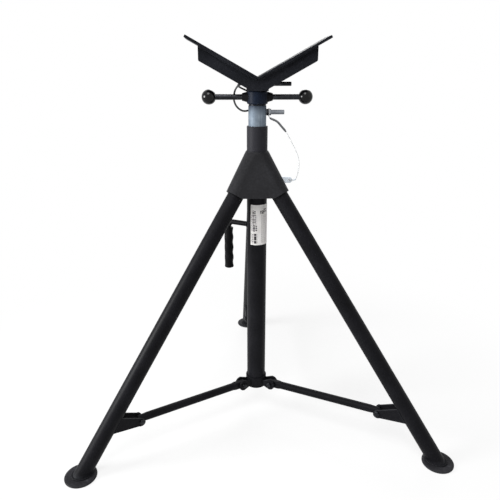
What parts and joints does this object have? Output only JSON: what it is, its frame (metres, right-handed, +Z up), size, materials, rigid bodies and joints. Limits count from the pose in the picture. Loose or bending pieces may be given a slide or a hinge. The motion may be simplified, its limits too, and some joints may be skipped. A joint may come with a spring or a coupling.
{
  "type": "pipe jack stand",
  "caption": "Folding tripod pipe stand with a V head on a jack screw, a pinned telescopic mast, a sliding brace collar and a carry handle.",
  "frame": {"origin": "middle of the footprint on the floor", "axes": "+Z up, rear leg towards +Y, V head's arms along X"},
  "size_m": [0.9462, 0.8297, 0.9886],
  "materials": {
    "black_powder_coat": "satin black powder coat",
    "zinc_plate": "bright zinc plate",
    "dark_steel": "blackened steel",
    "gloss_black": "glossy black phenolic",
    "grip_rubber": "matt moulded grip",
    "label_white": "plain white film",
    "coated_cable": "plastic coated steel cable"
  },
  "bodies": {
    "base": {"column_tube": "black_powder_coat", "guide_sleeve": "zinc_plate", "column_end_plug": "black_powder_coat", "hub_shroud": "black_powder_coat", "lanyard_lug": "black_powder_coat", "carry_handle_rod": "black_powder_coat", "carry_handle_grip": "grip_rubber", "label": "label_white", "pin_lanyard": "coated_cable", "hub_bracket_left": "black_powder_coat", "leg_pivot_bolt_left": "dark_steel", "hub_bracket_right": "black_powder_coat", "leg_pivot_bolt_right": "dark_steel", "hub_bracket_rear": "black_powder_coat", "leg_pivot_bolt_rear": "dark_steel"},
    "collar": {"slide_collar": "black_powder_coat", "collar_bolt_left": "dark_steel", "collar_bolt_right": "dark_steel", "collar_bolt_rear": "dark_steel"},
    "mast": {"mast_tube": "zinc_plate", "mast_guide_bush": "dark_steel", "thrust_washer": "dark_steel"},
    "lock_pin": {"mast_pin": "zinc_plate"},
    "nut": {"jack_nut": "black_powder_coat", "nut_bar_left": "dark_steel", "nut_bar_right": "dark_steel", "ball_knob_left": "gloss_black", "ball_knob_right": "gloss_black"},
    "head": {"v_plate_left": "black_powder_coat", "v_plate_right": "black_powder_coat", "v_web_front": "black_powder_coat", "v_web_rear": "black_powder_coat", "head_sleeve": "black_powder_coat", "lift_screw": "dark_steel"},
    "top_pin": {"head_pin": "dark_steel", "pin_pull_loop": "coated_cable"},
    "left_leg": {"leg_tube_left": "black_powder_coat", "leg_eye_left": "dark_steel", "foot_disc_left": "black_powder_coat", "brace_ear_left_a": "black_powder_coat", "brace_ear_left_b": "black_powder_coat"},
    "left_brace": {"brace_left": "black_powder_coat"},
    "right_leg": {"leg_tube_right": "black_powder_coat", "leg_eye_right": "dark_steel", "foot_disc_right": "black_powder_coat", "brace_ear_right_a": "black_powder_coat", "brace_ear_right_b": "black_powder_coat"},
    "right_brace": {"brace_right": "black_powder_coat"},
    "rear_leg": {"leg_tube_rear": "black_powder_coat", "leg_eye_rear": "dark_steel", "foot_disc_rear": "black_powder_coat", "brace_ear_rear_a": "black_powder_coat", "brace_ear_rear_b": "black_powder_coat"},
    "rear_brace": {"brace_rear": "black_powder_coat"}
  },
  "joints": [
    {"name": "left_leg_fold", "type": "hinge", "parent": "base", "child": "left_leg", "pos_m": [-0.03897, -0.14811, 0.65327], "axis": [0.5, -0.866, 0], "range_deg": [0, 27]},
    {"name": "right_leg_fold", "type": "hinge", "parent": "base", "child": "right_leg", "pos_m": [0.03897, -0.14811, 0.65327], "axis": [0.5, 0.866, 0], "range_deg": [0, 27]},
    {"name": "rear_leg_fold", "type": "hinge", "parent": "base", "child": "rear_leg", "pos_m": [0, -0.08061, 0.65327], "axis": [-1, 0, 0], "range_deg": [0, 27]},
    {"name": "collar_slide", "type": "slide", "parent": "base", "child": "collar", "axis": [0, 0, 1], "range_m": [0, 0.2345]},
    {"name": "left_brace_fold", "type": "hinge", "parent": "collar", "child": "left_brace", "pos_m": [-0.03984, -0.14861, 0.09], "axis": [0.5, -0.866, 0], "range_deg": [0, 89]},
    {"name": "right_brace_fold", "type": "hinge", "parent": "collar", "child": "right_brace", "pos_m": [0.03984, -0.14861, 0.09], "axis": [0.5, 0.866, 0], "range_deg": [0, 89]},
    {"name": "rear_brace_fold", "type": "hinge", "parent": "collar", "child": "rear_brace", "pos_m": [0, -0.07961, 0.09], "axis": [-1, 0, 0], "range_deg": [0, 89]},
    {"name": "mast_slide", "type": "slide", "parent": "base", "child": "mast", "axis": [0, 0, 1], "range_m": [0, 0.48]},
    {"name": "lock_pin_pull", "type": "slide", "parent": "base", "child": "lock_pin", "axis": [1, 0, 0], "range_m": [0, 0.04], "deforming": ["pin_lanyard"]},
    {"name": "nut_spin", "type": "hinge", "parent": "mast", "child": "nut", "pos_m": [0, -0.12561, 0.8413], "axis": [0, 0, -1], "range_deg": [0, 4320], "deforming": ["pin_pull_loop"]},
    {"name": "head_lift", "type": "slide", "parent": "mast", "child": "head", "axis": [0, 0, 1], "range_m": [0, 0.0763]},
    {"name": "head_pin_pull", "type": "slide", "parent": "head", "child": "top_pin", "axis": [-1, 0, 0], "range_m": [0, 0.105], "deforming": ["pin_pull_loop"]}
  ],
  "couplings": [
    {"joint": "right_leg_fold", "follows": "left_leg_fold", "ratio": 1},
    {"joint": "rear_leg_fold", "follows": "left_leg_fold", "ratio": 1},
    {"joint": "collar_slide", "follows": "left_leg_fold", "m_per_rad": 0.49744},
    {"joint": "left_brace_fold", "follows": "left_leg_fold", "ratio": 3.293},
    {"joint": "right_brace_fold", "follows": "left_leg_fold", "ratio": 3.293},
    {"joint": "rear_brace_fold", "follows": "left_leg_fold", "ratio": 3.293},
    {"joint": "head_lift", "follows": "nut_spin", "m_per_rad": 0.0010106}
  ]
}
